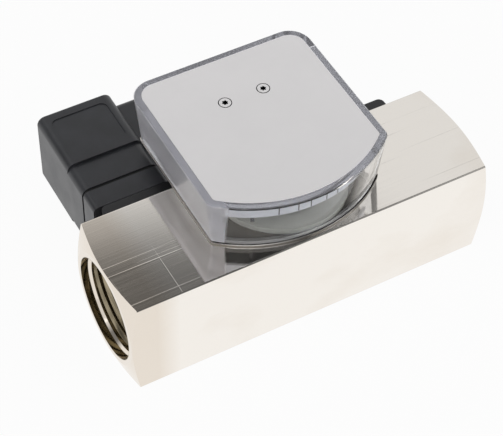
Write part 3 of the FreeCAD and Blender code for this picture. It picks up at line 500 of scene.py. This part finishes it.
def sintered_magnet(colours):
    """Dark gritty surface of a pressed magnet."""
    finish = Finish("sintered_magnet", colours.magnet, roughness=0.5, metallic=0.4)
    grit = finish.speckle(3200.0, 2.0)
    finish.polish(grit, 0.42, 0.62)
    finish.relief(grit, 0.25, COARSE)
    return finish.material


def clear_plastic(colours):
    """Thick moulding, clear at the curved front, hazy on its upper rim and its foot, with painted light as haze
    on its left wall, where the light falls, and painted reflection as bluish tints on that wall and the rim.
    """
    finish = Finish(
        "clear_plastic", colours.cover, roughness=0.03, Transmission_Weight=1.0, IOR=1.49,
        Specular_Tint=(0.15, 0.15, 0.15, 1.0),
    )
    waves = finish.grain((90.0, 90.0, 140.0), 2.0)
    low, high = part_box("clear_cover")
    wall = finish.zone("X", low.x, COVER_WALL)
    rim = finish.zone("Z", high.z, COVER_RIM)
    patches = finish.grain((60.0, 60.0, 160.0))
    # Painted light: the haze lies only on the left wall, where the light falls
    cloudy = finish.combine("MULTIPLY", wall, finish.spread(patches, 0.3, 0.7, 0.6, 1.0))
    foot = finish.zone("Z", low.z, COVER_FOOT, 0.28)
    edges = finish.combine("MAXIMUM", finish.scaled(rim, 0.0, 0.7), foot)
    haze = finish.combine("MAXIMUM", cloudy, edges)
    # Painted reflection: bluish tints on the left wall and the upper rim
    finish.tint(wall, WALL_REFLECTION_TINT)
    finish.tint(rim, RIM_REFLECTION_TINT)
    finish.links.new(finish.scaled(haze, 1.0, 0.60), finish.shader.inputs["Transmission Weight"])
    finish.links.new(finish.scaled(wall, 0.03, 0.28), finish.shader.inputs["Roughness"])
    finish.relief(waves, 0.10, 0.0004)
    return finish.material


def black_moulding(colours):
    """Moulded black plastic with a fine spark-eroded grain."""
    finish = Finish("black_moulding", colours.moulding, roughness=0.38, Specular_IOR_Level=0.6)
    grit = finish.speckle(2800.0)
    clouds = finish.speckle(120.0)
    finish.tint(finish.spread(clouds, 0.35, 0.75), shade_of(colours.moulding, 1.5))
    finish.polish(clouds, 0.33, 0.44)
    finish.relief(grit, 0.22, COARSE)
    return finish.material


def anodised_rail(colours):
    """Drawn black rail with fine lines along it."""
    finish = Finish("anodised_rail", colours.rail, roughness=0.34, Coat_Weight=0.15)
    lines = finish.grain((20.0, 2200.0, 2200.0))
    finish.polish(lines, 0.28, 0.42)
    finish.relief(lines, 0.10, SCRATCH)
    return finish.material


def black_rubber(colours):
    """Matt rubber of the seals."""
    finish = Finish("black_rubber", colours.rubber, roughness=0.62)
    grit = finish.speckle(1800.0)
    finish.polish(grit, 0.55, 0.72)
    finish.relief(grit, 0.25, COARSE)
    return finish.material


def smooth_plastic(name, colour, roughness):
    """Smooth inner moulding with a little tone in it."""
    finish = Finish(name, colour, roughness)
    clouds = finish.speckle(160.0)
    finish.tint(finish.spread(clouds, 0.3, 0.75), shade_of(colour, 0.9))
    finish.polish(clouds, roughness - 0.05, roughness + 0.08)
    finish.relief(finish.speckle(2400.0, 2.0), 0.08, SCRATCH)
    return finish.material


def printed_mark(colours):
    """Black ink and the pointer's lacquer."""
    finish = Finish("printed_mark", colours.mark, roughness=0.45)
    grit = finish.speckle(2400.0, 2.0)
    finish.polish(grit, 0.4, 0.55)
    finish.relief(grit, 0.1, HAIRLINE)
    return finish.material


def reed_glass():
    """Greenish glass of the reed contact."""
    finish = Finish("reed_glass", REED_GREEN, roughness=0.05, Transmission_Weight=0.8, IOR=1.5)
    finish.relief(finish.speckle(700.0, 2.0), 0.08, 0.00005)
    return finish.material


def dress(material, *names):
    """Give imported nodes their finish."""
    for name in names:
        mesh = NODES[name].data
        for number in range(len(mesh.materials)):
            mesh.materials[number] = material


def piece(name, shape, material, body):
    """New object from a bmesh, riding on a body."""
    bmesh.ops.recalc_face_normals(shape, faces=shape.faces)
    mesh = bpy.data.meshes.new(name)
    shape.to_mesh(mesh)
    shape.free()
    mesh.materials.append(material)
    made = bpy.data.objects.new(name, mesh)
    bpy.context.scene.collection.objects.link(made)
    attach(made, body)
    return made


def smooth_step(value):
    """Ease from 0 to 1."""
    value = max(0.0, min(1.0, value))
    return value * value * (3.0 - 2.0 * value)


def skin(shape, rows, closed):
    """Smooth faces between neighbouring rows of points, and round each row if it is closed."""
    count = len(rows[0])
    for first, second in zip(rows, rows[1:]):
        for number in range(count if closed else count - 1):
            after = (number + 1) % count
            corners = (first[number], first[after], second[after], second[number])
            shape.faces.new(corners).smooth = True


def thread_ridge(sizes, wall_radius, axis_z, start_x, direction):
    """Helical ridge that stands inwards from a bore's wall and fades out at both ends."""
    shape = bmesh.new()
    pitch = sizes.thread_pitch
    turns = sizes.thread_length / pitch - 1.0
    rows = []
    for step in range(int(turns * sizes.turn_steps) + 1):
        turn = step / sizes.turn_steps
        fade = smooth_step(turn / THREAD_FADE) * smooth_step((turns - turn) / THREAD_FADE)
        angle = direction * FULL_TURN * turn
        row = []
        for along, rise in THREAD_PROFILE:
            radius = wall_radius - THREAD_GAP - sizes.thread_depth * rise * fade
            x = start_x + direction * pitch * (turn + along)
            row.append(shape.verts.new((x, radius * math.sin(angle), axis_z + radius * math.cos(angle))))
        rows.append(row)
    skin(shape, rows, closed=False)
    return shape


def spring_coil(sizes, low, high):
    """Wire of the return spring, wound along X from one end of its box to the other."""
    shape = bmesh.new()
    wire = sizes.spring_wire / 2.0
    radius = (high.z - low.z) / 2.0 - wire
    axis_z = (high.z + low.z) / 2.0
    pitch = (high.x - low.x - sizes.spring_wire) / sizes.spring_turns
    run = FULL_TURN * radius
    rows = []
    for step in range(sizes.spring_turns * sizes.turn_steps + 1):
        turn = step / sizes.turn_steps
        angle = FULL_TURN * turn
        out = Vector((0.0, math.sin(angle), math.cos(angle)))
        across = Vector((pitch, run * math.cos(angle), -run * math.sin(angle))).cross(out).normalized()
        middle = Vector((low.x + wire + pitch * turn, 0.0, axis_z)) + out * radius
        row = []
        for side in range(WIRE_SIDES):
            around = FULL_TURN * side / WIRE_SIDES
            row.append(shape.verts.new(middle + (out * math.cos(around) + across * math.sin(around)) * wire))
        rows.append(row)
    skin(shape, rows, closed=True)
    shape.faces.new(rows[0])
    shape.faces.new(rows[-1])
    return shape


def scale_strokes(sizes, low, high):
    """Thin upright strokes on the front of the curved band."""
    shape = bmesh.new()
    radius = (high.x - low.x) / 2.0 / math.sin(sizes.band_half_angle)
    centre = Vector(((low.x + high.x) / 2.0, low.y + radius, 0.0))
    top = high.z - MARK_DROP
    for degrees in MARK_ANGLES:
        angle = math.radians(degrees)
        out = Vector((math.sin(angle), -math.cos(angle), 0.0))
        side = Vector((math.cos(angle), math.sin(angle), 0.0)) * sizes.mark_width / 2.0
        face = centre + out * (radius + sizes.mark_proud)
        back = centre + out * (radius - sizes.mark_proud)
        corners = []
        for place in (back, face):
            for end in (-1.0, 1.0):
                for height in (top - sizes.mark_height, top):
                    corners.append(shape.verts.new(place + side * end + Vector((0.0, 0.0, height))))
        for indices in MARK_FACES:
            shape.faces.new([corners[index] for index in indices])
    return shape


class FLOWMETER_OT_bar(bpy.types.Operator):
    """Finish the plated bar and the two threaded ports"""

    bl_idname = "flowmeter.bar"
    bl_label = "Bar and port threads"

    def execute(self, context):
        colours = context.scene.flowmeter_colours
        sizes = context.scene.flowmeter_sizes
        ports = {mount["name"]: mount for mount in frame["record"]["mounts"]}
        inlet = ports["inlet_port"]
        dress(milled_nickel(colours, inlet["pos_m"][2], inlet["dims"]["r_mm"] / 1000.0), "meter_body")
        metal = thread_nickel(colours)
        for name, direction in (("inlet_port", 1.0), ("outlet_port", -1.0)):
            middle_x, _, axis_z = ports[name]["pos_m"]
            wall_radius = ports[name]["dims"]["r_mm"] / 1000.0
            start_x = middle_x - direction * sizes.thread_length / 2.0
            ridge = thread_ridge(sizes, wall_radius, axis_z, start_x, direction)
            piece(name.replace("port", "thread"), ridge, metal, "meter")
        return {"FINISHED"}


class FLOWMETER_OT_bore(bpy.types.Operator):
    """Finish the measuring insert, the float and the spring in the bore"""

    bl_idname = "flowmeter.bore"
    bl_label = "Measuring insert"

    def execute(self, context):
        colours = context.scene.flowmeter_colours
        turned = turned_nickel(colours)
        dress(turned, "inlet_spider", "outlet_spider", "measuring_sleeve", "float", "magnet_clip")
        metal = plain_steel(colours)
        dress(metal, "guide_rod", "rod_nuts", "retaining_ring")
        low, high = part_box("return_spring")
        wire = spring_coil(context.scene.flowmeter_sizes, low, high)
        coil = piece("spring_coil", wire, metal, "meter")
        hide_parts("return_spring")
        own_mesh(coil)
        dress(smooth_plastic("bush_plastic", colours.bush, 0.35), "float_bushes")
        dress(sintered_magnet(colours), "float_magnet")
        dress(black_rubber(colours), "sleeve_seal")
        return {"FINISHED"}


class FLOWMETER_OT_head(bpy.types.Operator):
    """Finish the indicator head: cover, plates, gasket, dish, band and pointer group"""

    bl_idname = "flowmeter.head"
    bl_label = "Indicator head"

    def execute(self, context):
        colours = context.scene.flowmeter_colours
        dress(clear_plastic(colours), "clear_cover")
        NODES["clear_cover"].visible_shadow = False
        dress(satin_plate(colours), "top_plate")
        dress(bright_sheet(colours), "head_base_plate")
        dress(gasket_rubber(colours), "head_gasket")
        dress(screw_steel(colours), "top_plate_screws")
        dress(plain_steel(colours), "base_plate_screws", "bridge_screws")
        dress(plain_steel(colours), "pointer_shaft", "shaft_clip")
        dress(turned_brass(colours), "shaft_bushes", "counterweight")
        dress(sintered_magnet(colours), "follower_magnet")
        bridge = smooth_plastic("bridge_plastic", colours.inner_moulding, 0.4)
        dress(bridge, "bearing_bridge", "magnet_arm")
        dress(smooth_plastic("dish_plastic", colours.dish, 0.4), "dial_disc")
        dress(smooth_plastic("scale_plastic", colours.scale, 0.35), "scale_band")
        dress(printed_mark(colours), "pointer")
        return {"FINISHED"}


class FLOWMETER_OT_marks(bpy.types.Operator):
    """Print the plain scale marks on the band"""

    bl_idname = "flowmeter.marks"
    bl_label = "Scale marks"

    def execute(self, context):
        low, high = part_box("scale_band")
        strokes = scale_strokes(context.scene.flowmeter_sizes, low, high)
        ink = printed_mark(context.scene.flowmeter_colours)
        piece("scale_marks", strokes, ink, "meter")
        return {"FINISHED"}


class FLOWMETER_OT_switch(bpy.types.Operator):
    """Finish the rail, the switch carriage and its parts"""

    bl_idname = "flowmeter.switch"
    bl_label = "Rail and switch carriage"

    def execute(self, context):
        colours = context.scene.flowmeter_colours
        dress(anodised_rail(colours), "switch_rail")
        dress(plain_steel(colours), "rail_screws", "clamp_screw")
        dress(black_moulding(colours), "switch_carriage", "contact_block")
        dress(smooth_plastic("board_lacquer", colours.board, 0.3), "reed_board")
        dress(reed_glass(), "reed_switch")
        dress(turned_nickel(colours), "contact_pins")
        return {"FINISHED"}


class FLOWMETER_OT_plug(bpy.types.Operator):
    """Finish the angular plug and its gland"""

    bl_idname = "flowmeter.plug"
    bl_label = "Angular plug"

    def execute(self, context):
        colours = context.scene.flowmeter_colours
        dress(black_moulding(colours), "plug_housing", "gland_nut")
        dress(black_rubber(colours), "plug_gasket", "gland_seal")
        dress(smooth_plastic("terminal_plastic", colours.inner_moulding, 0.42), "terminal_block")
        dress(plain_steel(colours), "terminal_screws", "plug_screw", "gland_washer")
        return {"FINISHED"}


def any_ray(tree, seen):
    """Socket that is 1 for what the camera, a mirror or clear plastic shows."""
    total = seen.outputs["Is Camera Ray"]
    for kind in ("Is Glossy Ray", "Is Transmission Ray"):
        total = combined(tree, "MAXIMUM", total, seen.outputs[kind])
    return total


def studio_floor(studio, colours):
    """Pale floor that shows white, and keeps a soft shadow."""
    side = studio.floor_size / 2.0
    mesh = bpy.data.meshes.new("studio_floor")
    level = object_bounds()[0][2] - FLOOR_GAP
    corners = ((-side, -side, level), (side, -side, level), (side, side, level), (-side, side, level))
    mesh.from_pydata(corners, [], [(0, 1, 2, 3)])
    floor = bpy.data.objects.new("studio_floor", mesh)
    bpy.context.scene.collection.objects.link(floor)
    material = bpy.data.materials.new("studio_floor")
    material.use_nodes = True
    tree = material.node_tree
    nodes, links = tree.nodes, tree.links
    nodes.clear()
    seen = nodes.new("ShaderNodeLightPath")
    matt = nodes.new("ShaderNodeBsdfDiffuse")
    matt.inputs["Color"].default_value = (*colours.floor, 1.0)
    glow = nodes.new("ShaderNodeEmission")
    glow.inputs["Strength"].default_value = 1.0
    clean = nodes.new("ShaderNodeMixShader")
    clean.inputs["Fac"].default_value = FLOOR_WHITE
    links.new(matt.outputs[0], clean.inputs[1])
    links.new(glow.outputs[0], clean.inputs[2])
    choose = nodes.new("ShaderNodeMixShader")
    links.new(any_ray(tree, seen), choose.inputs["Fac"])
    links.new(matt.outputs[0], choose.inputs[1])
    links.new(clean.outputs[0], choose.inputs[2])
    output = nodes.new("ShaderNodeOutputMaterial")
    links.new(choose.outputs[0], output.inputs["Surface"])
    mesh.materials.append(material)
    floor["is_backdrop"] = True


def flag_share(tree, direction, flag):
    """Socket with the share of light that one dark flag leaves in a direction."""
    azimuth, elevation, inner, outer, level = flag
    flat = math.cos(math.radians(elevation))
    towards = tree.nodes.new("ShaderNodeVectorMath")
    towards.operation = "DOT_PRODUCT"
    towards.inputs[1].default_value = (
        flat * math.cos(math.radians(azimuth)),
        flat * math.sin(math.radians(azimuth)),
        math.sin(math.radians(elevation)),
    )
    tree.links.new(direction, towards.inputs[0])
    angle = tree.nodes.new("ShaderNodeMath")
    angle.operation = "ARCCOSINE"
    tree.links.new(towards.outputs["Value"], angle.inputs[0])
    share = tree.nodes.new("ShaderNodeMapRange")
    share.inputs["From Min"].default_value = math.radians(inner)
    share.inputs["From Max"].default_value = math.radians(outer)
    share.inputs["To Min"].default_value = level
    tree.links.new(angle.outputs[0], share.inputs["Value"])
    return share.outputs["Result"]


def studio_sky(studio):
    """White surroundings, with the dark flags that polished metal and black plastic show."""
    world = bpy.data.worlds.new("studio_sky")
    bpy.context.scene.world = world
    world.use_nodes = True
    tree = world.node_tree
    nodes, links = tree.nodes, tree.links
    nodes.clear()
    direction = nodes.new("ShaderNodeTexCoord").outputs["Generated"]
    light = flag_share(tree, direction, STUDIO_FLAGS[0])
    for flag in STUDIO_FLAGS[1:]:
        light = combined(tree, "MULTIPLY", light, flag_share(tree, direction, flag))
    seen = nodes.new("ShaderNodeLightPath")
    mirrored = nodes.new("ShaderNodeMix")
    mirrored.inputs[2].default_value = 1.0
    links.new(seen.outputs["Is Glossy Ray"], mirrored.inputs["Factor"])
    links.new(light, mirrored.inputs[3])
    strength = nodes.new("ShaderNodeMapRange")
    strength.inputs["To Min"].default_value = studio.sky_light
    strength.inputs["To Max"].default_value = 1.0
    links.new(any_ray(tree, seen), strength.inputs["Value"])
    total = combined(tree, "MULTIPLY", mirrored.outputs[0], strength.outputs["Result"])
    background = nodes.new("ShaderNodeBackground")
    links.new(total, background.inputs["Strength"])
    output = nodes.new("ShaderNodeOutputWorld")
    links.new(background.outputs[0], output.inputs["Surface"])


def studio_lamp(name, place, size, power):
    """Square soft lamp that points at the frame's origin."""
    lamp = bpy.data.lights.new(name, "AREA")
    lamp.size = size
    lamp.energy = power
    holder = bpy.data.objects.new(name, lamp)
    holder.location = place
    holder.rotation_euler = (-Vector(place)).to_track_quat("-Z", "Y").to_euler()
    bpy.context.scene.collection.objects.link(holder)


def studio_camera(studio):
    """Camera at the photograph's viewing angle."""
    lens = bpy.data.cameras.new("camera")
    lens.lens = studio.lens
    lens.sensor_width = SENSOR_WIDTH
    lens.sensor_fit = "HORIZONTAL"
    lens.clip_start = CLIP_START
    camera = bpy.data.objects.new("camera", lens)
    camera.location = studio.camera_place
    camera.rotation_euler = studio.camera_turn
    bpy.context.scene.collection.objects.link(camera)
    bpy.context.scene.camera = camera


class FLOWMETER_OT_studio(bpy.types.Operator):
    """Set the floor, the soft light and the camera"""

    bl_idname = "flowmeter.studio"
    bl_label = "Studio"

    def execute(self, context):
        studio = context.scene.flowmeter_studio
        studio_floor(studio, context.scene.flowmeter_colours)
        studio_sky(studio)
        studio_lamp("key_lamp", *KEY_LAMP, studio.key_power)
        studio_lamp("fill_lamp", *FILL_LAMP, studio.fill_power)
        studio_camera(studio)
        context.scene.view_settings.view_transform = "Standard"
        return {"FINISHED"}


class FLOWMETER_PT_panel(bpy.types.Panel):
    """Steps that dress the flow meter"""

    bl_idname = "FLOWMETER_PT_panel"
    bl_label = "Flow Meter"
    bl_space_type = "VIEW_3D"
    bl_region_type = "UI"
    bl_category = "Flow Meter"

    def draw(self, context):
        for operator in OPERATORS:
            self.layout.operator(operator.bl_idname)
        for group in GROUPS:
            values = getattr(context.scene, group)
            column = self.layout.column()
            for name in values.bl_rna.properties.keys():
                if name not in {"rna_type", "name"}:
                    column.prop(values, name)


OPERATORS = (
    FLOWMETER_OT_bar,
    FLOWMETER_OT_bore,
    FLOWMETER_OT_head,
    FLOWMETER_OT_marks,
    FLOWMETER_OT_switch,
    FLOWMETER_OT_plug,
    FLOWMETER_OT_studio,
)
GROUPS = {
    "flowmeter_colours": FlowMeterColours,
    "flowmeter_sizes": FlowMeterSizes,
    "flowmeter_studio": FlowMeterStudio,
}


def register():
    for group in GROUPS.values():
        bpy.utils.register_class(group)
    for name, group in GROUPS.items():
        setattr(bpy.types.Scene, name, PointerProperty(type=group))
    for operator in OPERATORS:
        bpy.utils.register_class(operator)
    bpy.utils.register_class(FLOWMETER_PT_panel)


def unregister():
    bpy.utils.unregister_class(FLOWMETER_PT_panel)
    for operator in reversed(OPERATORS):
        bpy.utils.unregister_class(operator)
    for name, group in GROUPS.items():
        delattr(bpy.types.Scene, name)
        bpy.utils.unregister_class(group)


def main():
    register()
    bpy.ops.flowmeter.bar()
    bpy.ops.flowmeter.bore()
    bpy.ops.flowmeter.head()
    bpy.ops.flowmeter.marks()
    bpy.ops.flowmeter.switch()
    bpy.ops.flowmeter.plug()
    bpy.ops.flowmeter.studio()


if __name__ == "__main__":
    main()
